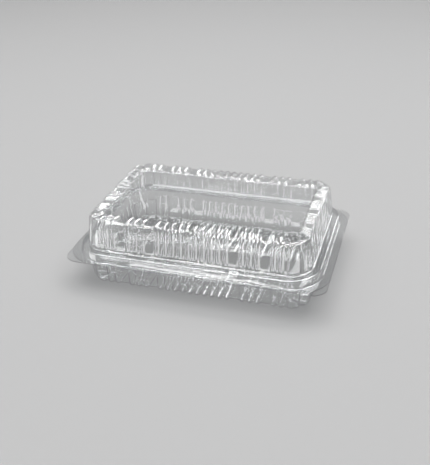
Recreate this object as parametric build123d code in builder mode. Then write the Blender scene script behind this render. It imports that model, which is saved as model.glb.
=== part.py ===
"""Clear formed-sheet clamshell pack: ribbed tray, ribbed hinged lid, living hinge.

Millimetres, +Z up. The origin is at the centre of the footprint on the plane the tray rests on.
X is the long direction, the opening edge faces -Y and the hinge runs along X at +Y.
Every outline is one core rectangle grown outward by a distance n, so straight walls and corners
share one wall section.
"""
import math
import os

from build123d import *

# ---------------------------------------------------------------- driving dimensions
pack_length = 220.0          # over the flanges, X
pack_width = 146.0           # over the flanges and the hinge, Y
core_x, core_y = 76.0, 43.0  # half sides of the core rectangle
sheet = 0.4                  # sheet thickness
gap = 0.3                    # clearance between tray and lid

rib_pitch = 6.39
rib_radius = 2.2             # half-round ribs
rib_height = 1.4             # crest above the wall between ribs
long_ribs = [k for k in range(1, 25) if k not in (3, 7, 18, 22)]
short_ribs = [j for j in range(1, 14) if j not in (3, 7, 11)]
lobe_arcs = [(8.0, 32.0), (50.0, 32.0)]  # wide corner ribs: start angle and arc, degrees
edge_crest = 4.2             # rounding of the top and bottom edges, on the rib crests

flange_top = 25.0            # upper face of the tray flange
base_corner = 12.0           # flange corner radii: the tray corners stick out as pull tabs
lid_corner = 26.0
flange_fillet = 0.8          # where the flanges turn up into the rim

tray_crest_foot = 19.0       # n of the rib crests at the resting plane
tray_slope = 0.10            # wall draft, mm outward per mm up
tray_floor_end = 11.0        # floor ribs stop this far from the centre line
tray_rib_top = 21.6          # centre of the ribs' rounded upper ends
tray_lobe_top = 18.7         # shoulder on each corner, under the flange
bead_top = 31.8              # snap bead on the tray rim
bead_round = 1.0
rim_slope = 0.206            # draft of bead and channel

ledge_z = 32.5               # ledge of the lid's channel
ledge_round = 1.3            # its outer edge
ledge_fillet = 1.8           # where the lid wall rises from it
skirt_foot = 27.8            # n of the channel's outer wall at the lid flange
lid_crest_foot = 21.05       # n of the rib crests at the ledge
lid_slope = 0.133
lid_top = 59.5               # rib crests on top
window_x, window_y = 82.0, 46.0  # half sides of the flat window
window_z = 57.3
window_corner = 8.0

lid_flange_under = flange_top + gap
lid_flange_top = lid_flange_under + sheet
hinge_y = pack_width / 2 - (gap / 2 + sheet)
hinge_z = flange_top + gap / 2
hinge_half = 80.0
rim_lean = math.hypot(1.0, rim_slope)
rim_draft = math.degrees(math.atan(rim_slope))


def ring(n, z):
    """Outline of the core rectangle grown by n, as a sketch at height z."""
    with BuildSketch(Plane.XY.offset(z)) as outline:
        RectangleRounded(2 * (core_x + n), 2 * (core_y + n), n)
    return outline.sketch


def loop(edges, n, z):
    """The edges of one closed line round the pack: growth n, height z."""
    def on_line(edge):
        p = edge @ 0.5
        grown = math.hypot(max(abs(p.X) - core_x, 0.0), max(abs(p.Y) - core_y, 0.0))
        return abs(p.Z - z) < 0.02 and abs(grown - n) < 0.15
    return edges.filter_by(on_line)


def rib_places(positions, count):
    return [(p - (count + 1) / 2) * rib_pitch for p in positions]


def put_ribs(long_rib, short_rib):
    """Copies of one rib of each kind round all four walls."""
    for turn in (0, 180):
        with Locations(*[Location((x, 0, 0), (0, 0, turn)) for x in rib_places(long_ribs, 24)]):
            add(long_rib)
        with Locations(*[Location((0, y, 0), (0, 0, turn)) for y in rib_places(short_ribs, 13)]):
            add(short_rib)


def rib_along(plane, points, bend, radius, round_ends):
    """A half-round rib: a round bar along a bent centre line."""
    with BuildPart() as bar:
        with BuildLine(plane) as path:
            FilletPolyline(*points, radius=bend)
        with BuildSketch(Plane(origin=path.line @ 0, z_dir=path.line % 0)):
            Circle(radius)
        sweep()
        if round_ends:
            with Locations(path.line @ 0, path.line @ 1):
                Sphere(radius)
    return bar.part


def lobes(points, bend, trim):
    """The two wide ribs on each corner: the crest section turned about the corner's centre."""
    with BuildPart() as corner:
        for start, arc in lobe_arcs:
            for sx, sy, base in ((1, 1, 0), (-1, 1, 90), (-1, -1, 180), (1, -1, 270)):
                a = math.radians(base + start + trim)
                centre = (sx * core_x, sy * core_y, 0)
                section = Plane(origin=centre, x_dir=(math.cos(a), math.sin(a), 0),
                                z_dir=(math.sin(a), -math.cos(a), 0))
                with BuildSketch(section):
                    with BuildLine():
                        FilletPolyline(*points, radius=bend)
                        Polyline(points[-1], (points[-1][0], points[0][1]), points[0])
                    make_face()
                revolve(axis=Axis(centre, (0, 0, 1)), revolution_arc=arc - 2 * trim)
    return corner.part


# ---------------------------------------------------------------- lid
def lid_form(inset):
    """The lid's channel and body as one solid block, its skin moved inward by inset."""
    lean = math.hypot(1.0, lid_slope)

    def crest(z, inward):
        return lid_crest_foot - lid_slope * (z - ledge_z) - inward * lean

    low = ledge_z - 1.0
    axis_in = rib_radius
    wall_low = crest(low, axis_in)
    wall_high = crest(lid_top - axis_in, axis_in)
    bend = edge_crest - axis_in
    long_rib = rib_along(Plane.YZ, [(-(core_y + wall_low), low), (-(core_y + wall_high), lid_top - axis_in),
                                    (-(window_y - 3), lid_top - axis_in)], bend, rib_radius - inset, False)
    short_rib = rib_along(Plane.XZ, [(core_x + wall_low, low), (core_x + wall_high, lid_top - axis_in),
                                     (window_x - 3, lid_top - axis_in)], bend, rib_radius - inset, False)
    wide = lobes([(crest(low, inset), low), (crest(lid_top - inset, inset), lid_top - inset),
                  (0.5, lid_top - inset)], edge_crest - inset, math.degrees(inset / 19.0))
    valley = rib_height + inset
    ledge = ledge_z - inset
    skirt = skirt_foot - rim_slope * (lid_flange_under - lid_flange_top) - inset * rim_lean
    with BuildPart() as form:
        add(ring(skirt, lid_flange_under))
        extrude(amount=ledge - lid_flange_under, taper=rim_draft)
        fillet(form.faces().sort_by(Axis.Z)[-1].edges(), ledge_round - inset)
        add(ring(crest(low, valley), low))
        extrude(amount=lid_top - valley - low, taper=math.degrees(math.atan(lid_slope)))
        fillet(form.faces().sort_by(Axis.Z)[-1].edges(), edge_crest - valley)
        fillet(loop(form.edges(), crest(ledge, valley), ledge), ledge_fillet + inset)
        put_ribs(long_rib, short_rib)
        add(wide)
        with BuildSketch(Plane.XY.offset(window_z - inset)):
            RectangleRounded(2 * (window_x + inset), 2 * (window_y + inset), window_corner + inset)
        extrude(amount=6.0, taper=-20, mode=Mode.SUBTRACT)
        # the flange, or the free space below it
        if inset:
            with BuildSketch(Plane.XY.offset(lid_flange_under)):
                Rectangle(pack_length + 10, pack_width + 10)
            extrude(amount=-2.0)
            fillet(loop(form.edges(), skirt, lid_flange_under), flange_fillet + sheet)
        else:
            with BuildSketch(Plane.XY.offset(lid_flange_under)):
                with Locations((0, (hinge_y - pack_width / 2) / 2)):
                    RectangleRounded(pack_length, hinge_y + pack_width / 2, lid_corner)
            extrude(amount=sheet)
            fillet(loop(form.edges(), skirt_foot, lid_flange_top), flange_fillet)
    return form.part


lid_outer = lid_form(0.0)
lid_hollow = lid_form(sheet)
with BuildPart() as lid:
    add(lid_outer)
    add(lid_hollow, mode=Mode.SUBTRACT)
lid.part.label = "lid"


# ---------------------------------------------------------------- tray
def tray_form(inset):
    """The tray's body as a solid block, its skin moved inward by inset."""
    lean = math.hypot(1.0, tray_slope)

    def crest(z, inward):
        return tray_crest_foot + tray_slope * z - inward * lean

    axis_in = rib_radius
    wall_high = crest(tray_rib_top, axis_in)
    wall_low = crest(axis_in, axis_in)
    bend = edge_crest - axis_in
    long_rib = rib_along(Plane.YZ, [(-(core_y + wall_high), tray_rib_top), (-(core_y + wall_low), axis_in),
                                    (-(tray_floor_end + rib_radius), axis_in)], bend, rib_radius - inset, True)
    short_rib = rib_along(Plane.XZ, [(core_x + wall_high, tray_rib_top), (core_x + wall_low, axis_in),
                                     (window_x + rib_radius, axis_in)], bend, rib_radius - inset, True)
    wide_top = tray_lobe_top - inset
    wide = lobes([(crest(wide_top, inset), wide_top), (crest(inset, inset), inset), (4.0 + inset, inset)],
                 edge_crest - inset, math.degrees(inset / 19.0))
    valley = rib_height + inset
    with BuildPart() as form:
        add(ring(crest(valley, valley), valley))
        extrude(amount=bead_top - valley, taper=-math.degrees(math.atan(tray_slope)))
        fillet(form.faces().sort_by(Axis.Z)[0].edges(), edge_crest - valley)
        # the rim turns over the bead above, or the open mouth
        if inset:
            with BuildSketch(Plane.XY.offset(bead_top)):
                Rectangle(pack_length, pack_width)
            extrude(amount=2.0)
            fillet(loop(form.edges(), crest(bead_top, valley), bead_top), bead_round)
        else:
            add(ring(crest(bead_top, valley) + 2.0, bead_top - sheet))
            extrude(amount=sheet)
            fillet(loop(form.edges(), crest(bead_top - sheet, valley), bead_top - sheet), bead_round - sheet)
        put_ribs(long_rib, short_rib)
        add(wide)
    return form.part


def bead_form(inset):
    """The snap bead round the tray rim with its flange, or the channel under it."""
    low_z = flange_top - sheet
    foot = skirt_foot - rim_slope * (low_z - lid_flange_top) - (sheet + gap + inset) * rim_lean
    with BuildPart() as bead:
        add(ring(foot, low_z))
        extrude(amount=bead_top - inset - low_z, taper=rim_draft)
        fillet(bead.faces().sort_by(Axis.Z)[-1].edges(), bead_round - inset)
        if inset:
            with BuildSketch(Plane.XY.offset(low_z)):
                Rectangle(pack_length + 10, pack_width + 10)
            extrude(amount=-2.0)
            fillet(loop(bead.edges(), foot, low_z), flange_fillet + sheet)
        else:
            with BuildSketch(Plane.XY.offset(low_z)):
                with Locations((0, (hinge_y - pack_width / 2) / 2)):
                    RectangleRounded(pack_length, hinge_y + pack_width / 2, base_corner)
            extrude(amount=sheet)
            fillet(loop(bead.edges(), foot - rim_slope * sheet, flange_top), flange_fillet)
    return bead.part


bead_outer = bead_form(0.0)
bead_channel = bead_form(sheet)
tray_outer = tray_form(0.0)
tray_hollow = tray_form(sheet)
with BuildPart() as base_tray:
    add(bead_outer)
    add(bead_channel, mode=Mode.SUBTRACT)
    add(tray_outer)
    add(tray_hollow, mode=Mode.SUBTRACT)
base_tray.part.label = "base_tray"

# ---------------------------------------------------------------- living hinge
with BuildPart() as living_hinge:
    with BuildSketch(Plane.YZ):
        with Locations((hinge_y, hinge_z)):
            Circle(gap / 2 + sheet)
            Circle(gap / 2, mode=Mode.SUBTRACT)
            Rectangle(4, 4, align=(Align.MAX, Align.CENTER), mode=Mode.SUBTRACT)
    extrude(amount=hinge_half, both=True)
living_hinge.part.label = "living_hinge"

os.makedirs("parts", exist_ok=True)
export_step(base_tray.part, "parts/base_tray.step")
export_step(lid.part, "parts/lid.step")
export_step(living_hinge.part, "parts/living_hinge.step")
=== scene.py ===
import math

import bpy
import numpy as np
from mathutils import Matrix, Vector


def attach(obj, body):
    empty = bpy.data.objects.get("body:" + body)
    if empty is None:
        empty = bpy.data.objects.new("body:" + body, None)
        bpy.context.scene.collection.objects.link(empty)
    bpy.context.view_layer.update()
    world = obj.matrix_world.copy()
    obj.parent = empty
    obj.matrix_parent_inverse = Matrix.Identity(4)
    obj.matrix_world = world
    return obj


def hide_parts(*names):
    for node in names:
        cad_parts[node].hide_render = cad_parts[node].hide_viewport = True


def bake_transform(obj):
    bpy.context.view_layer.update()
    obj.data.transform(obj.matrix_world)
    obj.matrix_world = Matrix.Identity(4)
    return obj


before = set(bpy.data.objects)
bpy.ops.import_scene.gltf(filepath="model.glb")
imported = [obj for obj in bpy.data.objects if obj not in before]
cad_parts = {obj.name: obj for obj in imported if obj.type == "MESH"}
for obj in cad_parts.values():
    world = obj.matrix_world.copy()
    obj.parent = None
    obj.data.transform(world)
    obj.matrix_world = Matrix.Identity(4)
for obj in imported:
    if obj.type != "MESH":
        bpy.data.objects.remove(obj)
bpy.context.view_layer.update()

# ---------------------------------------------------------------- dimensions of the pack, millimetres
CORE = (76.0, 43.0)            # half sides of the core rectangle that every outline grows from
SHEET = 0.4
PITCH = 6.39
RIB_H = 1.4
LONG = [(k - 12.5) * PITCH for k in range(1, 25) if k not in (3, 7, 18, 22)]
SHORT = [(j - 7) * PITCH for j in range(1, 14) if j not in (3, 7, 11)]
LOBES = [(8.0, 40.0), (50.0, 82.0)]
FRONT, SIDE, CORNER = 0, 1, 2


# ---------------------------------------------------------------- stations round the perimeter
def stations(step_rib=0.62, step_gap=2.0):
    """Stations once round the pack, closer together on the ribs: core multipliers, outward normal, kind, place."""
    def along(half, ribs):
        marks = [-half]
        for r in ribs:
            marks += [r - 2.6, r + 2.6]
        marks.append(half)
        marks = sorted(set(round(min(max(m, -half), half), 4) for m in marks))
        out = []
        for lo, hi in zip(marks[:-1], marks[1:]):
            mid = (lo + hi) / 2
            on_rib = any(abs(mid - r) < 2.6 for r in ribs)
            count = max(1, int(round((hi - lo) / (step_rib if on_rib else step_gap))))
            out += [lo + (hi - lo) * i / count for i in range(count)]
        return np.array(out)

    fx, sy = along(CORE[0], LONG), along(CORE[1], SHORT)
    ang = []
    for lo, hi, count in ((0, 6.5, 3), (6.5, 14, 7), (14, 34, 5), (34, 41.5, 7), (41.5, 48.5, 3),
                          (48.5, 56, 7), (56, 76, 5), (76, 83.5, 7), (83.5, 90, 3)):
        ang += [lo + (hi - lo) * i / count for i in range(count)]
    rows = []
    for side in range(4):
        turn = math.radians(-90 + 90 * side)
        nx, ny = round(math.cos(turn)), round(math.sin(turn))
        if side % 2 == 0:
            for x in fx:
                rows.append((-ny * x / CORE[0], ny, nx, ny, FRONT, x))
        else:
            for y in sy:
                rows.append((nx, nx * y / CORE[1], nx, ny, SIDE, y))
        cx, cy = (1, -1) if side == 0 else (1, 1) if side == 1 else (-1, 1) if side == 2 else (-1, -1)
        for t in ang:
            a = turn + math.radians(t)
            rows.append((cx, cy, math.cos(a), math.sin(a), CORNER, t))
    return np.array(rows)


ST = stations()
KX, KY, NX, NY, KIND, PLACE = ST.T
COUNT = len(ST)


def side_distance():
    """Millimetres from each station to the middle of the nearest rib, sideways."""
    d = np.full(COUNT, 9.0)
    for kind, ribs in ((FRONT, LONG), (SIDE, SHORT)):
        here = KIND == kind
        d[here] = np.min(np.abs(PLACE[here][:, None] - np.array(ribs)[None, :]), axis=1)
    here = KIND == CORNER
    per_degree = math.radians(19.0)
    best = np.full(here.sum(), 9.0)
    for lo, hi in LOBES:
        half = (hi - lo) / 2 * per_degree
        off = np.abs(PLACE[here] - (lo + hi) / 2) * per_degree
        best = np.minimum(best, np.maximum(0.0, off - half + 2.0))
    d[here] = best
    return d


SIDEWAYS = side_distance()


def rib_shape(d, r, soft):
    """Half-round rib of height RIB_H and radius r at distance d from its middle, with a soft root."""
    flat = np.clip(d, 0, r * 0.999)
    h = np.sqrt(r * r - flat * flat) - (r - RIB_H) - np.maximum(0.0, d - r * 0.999) * 3.0
    return 0.5 * (h + np.sqrt(h * h + soft * soft)) - 0.5 * (math.sqrt(RIB_H ** 2 + soft ** 2) - RIB_H)


# ---------------------------------------------------------------- wall section
def rounded(points, radii, arc_step=14.0):
    """A polyline in (n, z) with its inner corners rounded; returns points with the index of the leg they end."""
    pts = [np.array(p, float) for p in points]
    out = [(pts[0], 0)]
    for i in range(1, len(pts) - 1):
        a, b, c = pts[i - 1], pts[i], pts[i + 1]
        u, v = (a - b) / np.linalg.norm(a - b), (c - b) / np.linalg.norm(c - b)
        turn = math.acos(max(-1.0, min(1.0, float(u @ v))))
        cut = radii[i - 1] / math.tan(turn / 2)
        mid = (u + v) / np.linalg.norm(u + v)
        centre = b + mid * radii[i - 1] / math.sin(turn / 2)
        start, stop = b + u * cut - centre, b + v * cut - centre
        sweep = math.pi - turn
        steps = max(3, int(math.ceil(math.degrees(sweep) / arc_step)))
        for k in range(steps + 1):
            f = k / steps
            w0, w1 = math.sin((1 - f) * sweep) / math.sin(sweep), math.sin(f * sweep) / math.sin(sweep)
            out.append((centre + w0 * start + w1 * stop, i if k == 0 else i + 0.5 if k < steps else i + 1))
    out.append((pts[-1], len(pts) - 1))
    return out


class Ring:
    """One closed line of the sheet: core half sides, centre shift in Y, growth n, height z, rib reach past its end."""

    def __init__(self, core, n, z, shift=0.0, past=None):
        self.core, self.n, self.z, self.shift, self.past = core, n, z, shift, past

    def points(self):
        return np.stack([KX * self.core[0] + self.n * NX,
                         KY * self.core[1] + self.shift + self.n * NY,
                         np.full(COUNT, float(self.z))], axis=1)


def grid_normals(p):
    """Unit normals of a grid of rings, from its own neighbours."""
    along = np.roll(p, -1, axis=1) - np.roll(p, 1, axis=1)
    across = np.gradient(p, axis=0)
    n = np.cross(along, across)
    return n / np.maximum(np.linalg.norm(n, axis=2, keepdims=True), 1e-12)


def sheet_mesh(name, rings, rib_sign, rib_r, thick_sign):
    """A closed sheet from rings: ribs pushed along the surface normal, then the second face a sheet away."""
    p = np.stack([r.points() for r in rings])
    n = grid_normals(p)
    flat_up = np.sign(n[..., 2].mean())
    h = np.zeros(p.shape[:2])
    for i, r in enumerate(rings):
        if r.past is None:
            continue
        past = np.select([KIND == FRONT, KIND == SIDE], [r.past[0], r.past[1]], r.past[2])
        h[i] = rib_shape(np.hypot(SIDEWAYS, past), rib_r, 0.22)
    p = p + n * (h * rib_sign * flat_up)[..., None]
    n2 = grid_normals(p)
    q = p + n2 * (SHEET * thick_sign * flat_up)
    rows = len(rings)
    verts = np.concatenate([p.reshape(-1, 3), q.reshape(-1, 3)]) * 0.001
    base = rows * COUNT
    j = np.arange(COUNT)
    k = (j + 1) % COUNT
    faces = []
    for i in range(rows - 1):
        a, b, c, d = i * COUNT + j, i * COUNT + k, (i + 1) * COUNT + k, (i + 1) * COUNT + j
        faces.append(np.stack([a, b, c, d], axis=1))
        faces.append(np.stack([base + d, base + c, base + b, base + a], axis=1))
    faces.append(np.stack([j, base + j, base + k, k], axis=1))
    quads = np.concatenate(faces)
    inner = [(rows - 1) * COUNT + int(v) for v in j]
    polys = quads.tolist() + [inner, [base + v for v in reversed(inner)]]
    if flat_up * thick_sign > 0:
        quads = quads[:, ::-1]
        polys = [f[::-1] for f in polys]
    area = np.cross(verts[quads[:, 2]] - verts[quads[:, 0]], verts[quads[:, 3]] - verts[quads[:, 1]])
    normals = np.zeros_like(verts)
    for c in range(4):
        np.add.at(normals, quads[:, c], area)
    normals /= np.maximum(np.linalg.norm(normals, axis=1, keepdims=True), 1e-15)
    mesh = bpy.data.meshes.new(name)
    mesh.from_pydata(verts.tolist(), [], polys)
    mesh.validate()
    mesh.polygons.foreach_set("use_smooth", np.ones(len(mesh.polygons), bool))
    mesh.normals_split_custom_set_from_vertices(normals.tolist())
    mesh.update()
    obj = bpy.data.objects.new(name, mesh)
    bpy.context.scene.collection.objects.link(obj)
    return obj


def lid_rings():
    slope = 0.133
    lean = math.hypot(1.0, slope)
    wall = lambda z: 21.05 - slope * (z - 32.5) - RIB_H * lean
    top, window = 59.5 - RIB_H, 57.3
    rings = []
    edge, shift = (84.0, 46.725), -0.275
    for inset in (0.0, 0.12, 0.6):
        rings.append(Ring(edge, 26.0 - inset, 25.7, shift))
    section = rounded([(30.0, 25.7), (27.8, 25.7), (26.4, 32.5), (wall(32.5), 32.5), (wall(top), top), (11.0, top)],
                      [0.8, 1.3, 1.8, 2.8], 16.0)
    rib_low = 35.6
    pts = [s for s in section[1:-1]]
    full = []
    for (a, la), (b, lb) in zip(pts[:-1], pts[1:]):
        full.append((a, la))
        if la == 4 and lb == 4:
            for z in (33.9, 34.4, 35.0, 35.8, 37.0, 41.0, 46.0, 50.0):
                if a[1] + 0.2 < z < b[1] - 0.2:
                    full.append((a + (b - a) * (z - a[1]) / (b[1] - a[1]), 4))
    full.append(pts[-1])
    for q, leg in full:
        nn, z = float(q[0]), float(q[1])
        past = None
        if z > 32.6 and nn < 21.0:
            reach = max(0.0, rib_low - z) * 1.02
            past = (reach, reach, reach)
        rings.append(Ring(CORE, nn, z, 0.0, past))
    start = float(full[-1][0][0])
    run_front = CORE[1] + start - 46.0
    run_side = CORE[0] + start - 82.0
    for f in (0.2, 0.4, 0.55, 0.68, 0.76, 0.83, 0.89, 0.94, 0.975):
        past = tuple(max(0.0, f * run - (run - 2.3)) for run in (run_front, run_side, run_side))
        rings.append(Ring((CORE[0] + (74.0 - CORE[0]) * f, CORE[1] + (38.0 - CORE[1]) * f),
                          start + (8.0 - start) * f, top, 0.0, past))
    win = (74.0, 38.0)
    for q, leg in rounded([(8.3, top), (8.0, top), (7.6, window), (6.6, window)], [0.22, 0.4], 30.0)[1:]:
        rings.append(Ring(win, float(q[0]), float(q[1])))
    rings.append(Ring(win, 5.2, window))
    return rings


def tray_rings():
    slope = 0.10
    lean = math.hypot(1.0, slope)
    wall = lambda z: 19.0 + slope * z - (RIB_H + SHEET) * lean
    floor = RIB_H + SHEET
    rings = []
    edge, shift = (98.0, 60.725), -0.275
    for inset in (0.0, 0.12, 0.6):
        rings.append(Ring(edge, 12.0 - inset, 25.0, shift))
    section = rounded([(29.0, 25.0), (27.23, 25.0), (25.83, 31.8), (wall(31.8), 31.8), (wall(floor), floor), (11.0, floor)],
                      [0.8, 1.0, 1.0, 2.4], 18.0)
    rib_high, shoulder = 21.6, 17.5
    pts = [s for s in section[1:-1]]
    full = []
    for (a, la), (b, lb) in zip(pts[:-1], pts[1:]):
        full.append((a, la))
        if la == 4 and lb == 4:
            for z in (25.0, 23.6, 23.1, 22.6, 22.0, 21.2, 19.2, 18.65, 18.4, 18.15, 17.85, 17.4, 12.5, 8.0):
                if b[1] + 0.2 < z < a[1] - 0.2:
                    full.append((a + (b - a) * (z - a[1]) / (b[1] - a[1]), 4))
    full.append(pts[-1])
    for q, leg in full:
        nn, z = float(q[0]), float(q[1])
        past = None
        if z < 25.0 and nn < 20.5:
            reach = max(0.0, z - rib_high) * 1.01
            past = (reach, reach, max(0.0, z - shoulder) * 1.9)
        rings.append(Ring(CORE, nn, z, 0.0, past))
    start = float(full[-1][0][0])
    side_end, front_end = 82.0, 11.0
    for x in (87.0, 85.6, 84.6, 84.0, 83.5, 83.0, 82.6, 82.1, 81.5):
        nn = x - CORE[0]
        if nn > start - 0.3:
            continue
        side_past = max(0.0, (side_end + 1.9) - x)
        rings.append(Ring(CORE, nn, floor, 0.0, (0.0, side_past, max(0.0, 7.0 - nn) * 1.3)))
    for y in (30.0, 15.0, 13.6, 12.9, 12.2, 11.7, 11.2, 10.7, 10.0):
        f = (49.3 - y) / (49.3 - 10.0)
        nn = 6.3 + (2.0 - 6.3) * f
        rings.append(Ring((CORE[0], y - nn), nn, floor, 0.0, (max(0.0, (front_end + 1.9) - y), 9.0, 9.0)))
    rings.append(Ring((CORE[0] - 1.0, 6.5), 2.0, floor))
    return rings


# ---------------------------------------------------------------- clear sheet material
def clear_sheet():
    """Clear glossy sheet: slow waviness from forming, faint haze, and a colour darkened where the sheet is seen
    edge-on, partly for the longer path through it and partly painted shade on rib flanks and edges.
    """
    mat = bpy.data.materials.new("clear_sheet")
    mat.use_nodes = True
    nt = mat.node_tree
    nt.nodes.clear()
    node, link = nt.nodes.new, nt.links.new
    out = node("ShaderNodeOutputMaterial")
    pbsdf = node("ShaderNodeBsdfPrincipled")
    pbsdf.inputs["Transmission Weight"].default_value = 1.0
    pbsdf.inputs["IOR"].default_value = 1.575
    coord = node("ShaderNodeTexCoord")

    def noise(scale, detail, roughness=0.5):
        n = node("ShaderNodeTexNoise")
        n.inputs["Scale"].default_value = scale
        n.inputs["Detail"].default_value = detail
        n.inputs["Roughness"].default_value = roughness
        link(coord.outputs["Object"], n.inputs["Vector"])
        return n

    drawn = noise(9.0, 2.0)
    tone = node("ShaderNodeValToRGB")
    tone.color_ramp.elements[0].position = 0.3
    tone.color_ramp.elements[0].color = (0.972, 0.976, 0.978, 1)
    tone.color_ramp.elements[1].position = 0.7
    tone.color_ramp.elements[1].color = (0.996, 0.997, 0.998, 1)
    link(drawn.outputs["Fac"], tone.inputs["Fac"])
    # Painted shade: the colour darkens towards 0.16 where the sheet is seen edge-on, drawing dark lines on rib flanks
    # and edges; only part of it stands for the longer path through the sheet.
    steep = node("ShaderNodeLayerWeight")
    steep.inputs["Blend"].default_value = 0.5
    flank_painted_shade = node("ShaderNodeValToRGB")
    flank_painted_shade.color_ramp.elements[0].position = 0.72
    flank_painted_shade.color_ramp.elements[0].color = (1.0, 1.0, 1.0, 1)
    flank_painted_shade.color_ramp.elements[1].position = 1.0
    flank_painted_shade.color_ramp.elements[1].color = (0.16, 0.165, 0.17, 1)
    link(steep.outputs["Facing"], flank_painted_shade.inputs["Fac"])
    # Base colour is the random haze tone multiplied by the painted edge-on shade.
    tone_and_painted_edge_shade = node("ShaderNodeMix")
    tone_and_painted_edge_shade.data_type = "RGBA"
    tone_and_painted_edge_shade.blend_type = "MULTIPLY"
    tone_and_painted_edge_shade.inputs["Factor"].default_value = 1.0
    link(tone.outputs["Color"], tone_and_painted_edge_shade.inputs[6])
    link(flank_painted_shade.outputs["Color"], tone_and_painted_edge_shade.inputs[7])
    link(tone_and_painted_edge_shade.outputs[2], pbsdf.inputs["Base Color"])

    depth = node("ShaderNodeVolumeAbsorption")
    depth.inputs["Color"].default_value = (0.81, 0.825, 0.83, 1)
    depth.inputs["Density"].default_value = 260.0
    link(depth.outputs[0], out.inputs["Volume"])

    haze = noise(55.0, 4.0, 0.6)
    rough = node("ShaderNodeMapRange")
    rough.inputs["From Min"].default_value = 0.38
    rough.inputs["From Max"].default_value = 0.72
    rough.inputs["To Min"].default_value = 0.012
    rough.inputs["To Max"].default_value = 0.045
    link(haze.outputs["Fac"], rough.inputs["Value"])
    link(rough.outputs["Result"], pbsdf.inputs["Roughness"])

    slow, fine = noise(38.0, 1.0), noise(160.0, 2.0)
    first = node("ShaderNodeBump")
    first.inputs["Strength"].default_value = 0.5
    first.inputs["Distance"].default_value = 0.0003
    link(slow.outputs["Fac"], first.inputs["Height"])
    second = node("ShaderNodeBump")
    second.inputs["Strength"].default_value = 0.25
    second.inputs["Distance"].default_value = 0.00006
    link(fine.outputs["Fac"], second.inputs["Height"])
    link(first.outputs["Normal"], second.inputs["Normal"])
    link(second.outputs["Normal"], pbsdf.inputs["Normal"])

    path = node("ShaderNodeLightPath")
    clear = node("ShaderNodeBsdfTransparent")
    facing = node("ShaderNodeLayerWeight")
    facing.inputs["Blend"].default_value = 0.35
    shade = node("ShaderNodeValToRGB")
    shade.color_ramp.elements[0].color = (0.988, 0.989, 0.99, 1)
    shade.color_ramp.elements[1].color = (0.90, 0.903, 0.906, 1)
    link(facing.outputs["Facing"], shade.inputs["Fac"])
    link(shade.outputs["Color"], clear.inputs["Color"])
    mix = node("ShaderNodeMixShader")
    link(path.outputs["Is Shadow Ray"], mix.inputs[0])
    link(pbsdf.outputs[0], mix.inputs[1])
    link(clear.outputs[0], mix.inputs[2])
    link(mix.outputs[0], out.inputs["Surface"])
    return mat


SHEET_MAT = clear_sheet()

lid = sheet_mesh("lid_sheet", lid_rings(), 1.0, 2.2, -1.0)
lid.data.materials.append(SHEET_MAT)
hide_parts("lid")
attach(lid, "lid")

tray = sheet_mesh("tray_sheet", tray_rings(), -1.0, 1.8, -1.0)
tray.data.materials.append(SHEET_MAT)
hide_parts("base_tray")
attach(tray, "base")


# ---------------------------------------------------------------- living hinge
def hinge_mesh():
    y0, z0, half = 72.45, 25.15, 80.0
    xs = np.linspace(-half, half, 81)
    ang = np.linspace(-90, 90, 19)
    rows = []
    for r in (0.55, 0.15):
        order = ang if r > 0.3 else ang[::-1]
        for a in order:
            t = math.radians(a)
            rows.append((y0 + r * math.cos(t), z0 + r * math.sin(t)))
    m = len(rows)
    verts = [(x * 0.001, y * 0.001, z * 0.001) for x in xs for y, z in rows]
    faces = []
    for i in range(len(xs) - 1):
        for k in range(m):
            a, b = i * m + k, i * m + (k + 1) % m
            faces.append((a, b, b + m, a + m))
    last = (len(xs) - 1) * m
    half_count = len(ang)
    for k in range(half_count - 1):
        o0, o1, i0, i1 = k, k + 1, m - 1 - k, m - 2 - k
        faces.append((i0, i1, o1, o0))
        faces.append((last + o0, last + o1, last + i1, last + i0))
    mesh = bpy.data.meshes.new("hinge_web")
    mesh.from_pydata(verts, [], faces)
    mesh.validate()
    mesh.polygons.foreach_set("use_smooth", np.ones(len(mesh.polygons), bool))
    mesh.update()
    obj = bpy.data.objects.new("hinge_web", mesh)
    bpy.context.scene.collection.objects.link(obj)
    return obj


web = hinge_mesh()
web.data.materials.append(SHEET_MAT)
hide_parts("living_hinge")
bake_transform(web)

# ---------------------------------------------------------------- floor, light, camera
floor_mesh = bpy.data.meshes.new("studio_floor")
floor_mesh.from_pydata([(-4, -4, 0), (4, -4, 0), (4, 4, 0), (-4, 4, 0)], [], [(0, 1, 2, 3)])
floor = bpy.data.objects.new("studio_floor", floor_mesh)
bpy.context.scene.collection.objects.link(floor)
fmat = bpy.data.materials.new("pale_floor")
fmat.use_nodes = True
fb = fmat.node_tree.nodes["Principled BSDF"]
fb.inputs["Base Color"].default_value = (0.20, 0.20, 0.20, 1)
fb.inputs["Roughness"].default_value = 0.8
fb.inputs["Specular IOR Level"].default_value = 0.0
floor_mesh.materials.append(fmat)

scene = bpy.context.scene
world = bpy.data.worlds.new("studio")
scene.world = world
world.use_nodes = True
wn = world.node_tree.nodes
where = wn.new("ShaderNodeTexCoord")
split = wn.new("ShaderNodeSeparateXYZ")
backdrop = wn.new("ShaderNodeValToRGB")
backdrop.color_ramp.elements[0].position = 0.02
backdrop.color_ramp.elements[0].color = (0.30, 0.30, 0.30, 1)
backdrop.color_ramp.elements[1].position = 0.34
backdrop.color_ramp.elements[1].color = (0.09, 0.092, 0.095, 1)
world.node_tree.links.new(where.outputs["Generated"], split.inputs[0])
world.node_tree.links.new(split.outputs["Z"], backdrop.inputs["Fac"])
world.node_tree.links.new(backdrop.outputs["Color"], wn["Background"].inputs["Color"])

sun = bpy.data.lights.new("floor_light", "SUN")
sun.energy = 4.2
sun.angle = math.radians(70)
sun_obj = bpy.data.objects.new("floor_light", sun)
scene.collection.objects.link(sun_obj)
sun_obj.rotation_euler = (math.radians(-14), math.radians(6), 0)
sun_obj.visible_glossy = False


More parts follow.
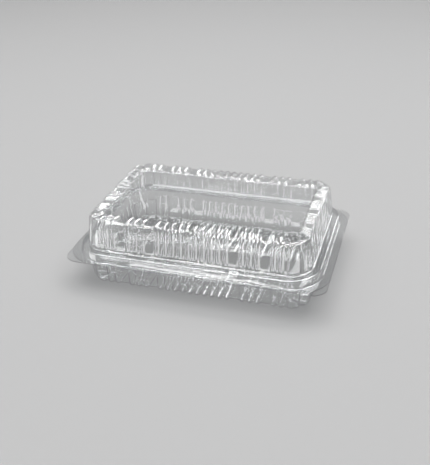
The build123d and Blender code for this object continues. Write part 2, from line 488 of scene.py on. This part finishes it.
def softbox(name, loc, target, size, power, gleam=False):
    """A soft rectangular light. A gleam light is only there for the reflections on the gloss of the sheet."""
    light = bpy.data.lights.new(name, "AREA")
    light.shape = "RECTANGLE"
    light.size, light.size_y = size
    light.energy = power
    obj = bpy.data.objects.new(name, light)
    scene.collection.objects.link(obj)
    obj.location = loc
    obj.rotation_euler = (Vector(target) - Vector(loc)).to_track_quat("-Z", "Y").to_euler()
    obj.visible_camera = False
    obj.visible_diffuse = not gleam
    return obj


softbox("back_strip", (0.0, 0.75, 1.6), (0, 0, 0.03), (1.2, 0.22), 24.0)
softbox("front_strip", (0.0, -0.75, 1.6), (0, 0, 0.03), (1.2, 0.16), 14.0)
softbox("left_strip", (-0.95, 0.1, 1.45), (0, 0, 0.03), (0.9, 0.9), 10.0)
softbox("right_strip", (0.95, 0.1, 1.45), (0, 0, 0.03), (0.9, 0.16), 10.0)
softbox("back_gleam", (0.0, 0.95, 1.42), (0, 0, 0.03), (1.6, 0.12), 24.0, True)
softbox("back_right_gleam", (0.62, 1.05, 0.40), (0, 0, 0.03), (0.30, 0.16), 1.5, True)
softbox("back_left_gleam", (-0.66, 0.95, 0.25), (0, 0, 0.03), (0.20, 0.13), 1.7, True)
softbox("front_gleam", (-0.25, -0.75, 0.82), (0, 0, 0.03), (0.7, 0.10), 10.0, True)
softbox("rim_gleam_left", (-0.13, -0.2315, 0.002), (-0.13, -0.2115, 0.5), (0.26, 0.006), 0.02, True)
softbox("rim_gleam_right", (0.02, -0.2135, 0.002), (0.02, -0.1935, 0.5), (0.26, 0.008), 0.02, True)
for low_light in (softbox("rib_gleam", (0.01, -0.135, 0.002), (0.01, -0.115, 0.5), (0.44, 0.06), 0.42, True),
                  softbox("back_rib_gleam", (0.005, 0.043, 0.004), (0.005, 0.045, 0.5), (0.15, 0.014), 0.035, True),
                  softbox("back_rim_gleam", (-0.005, 0.085, 0.042), (-0.005, 0.0665, 0.0325), (0.17, 0.007), 0.019, True)):
    low_light.visible_transmission = False
scene.view_settings.view_transform = "Standard"

scene.cycles.max_bounces = 32
scene.cycles.transmission_bounces = 32
scene.cycles.glossy_bounces = 12
scene.cycles.transparent_max_bounces = 48
scene.cycles.caustics_reflective = False
scene.cycles.caustics_refractive = False


def photo_camera():
    yaw, pitch, roll = math.radians(17.83), math.radians(29.28), math.radians(-1.79)
    back = Vector((math.sin(yaw) * math.cos(pitch), -math.cos(yaw) * math.cos(pitch), math.sin(pitch)))
    right = Vector((math.cos(yaw), math.sin(yaw), 0))
    up = back.cross(right)
    r2 = math.cos(roll) * right + math.sin(roll) * up
    u2 = -math.sin(roll) * right + math.cos(roll) * up
    cam = bpy.data.cameras.new("photo_camera")
    cam.sensor_width = 36.0
    cam.lens = 716.4 * 36.0 / 465.0
    cam.clip_start, cam.clip_end = 0.01, 50
    obj = bpy.data.objects.new("photo_camera", cam)
    scene.collection.objects.link(obj)
    place = Vector((0.16881, -0.52159, 0.30876 + 0.025))
    m = Matrix((r2, u2, back)).transposed().to_4x4()
    m.translation = place
    obj.matrix_world = m
    scene.camera = obj


photo_camera()
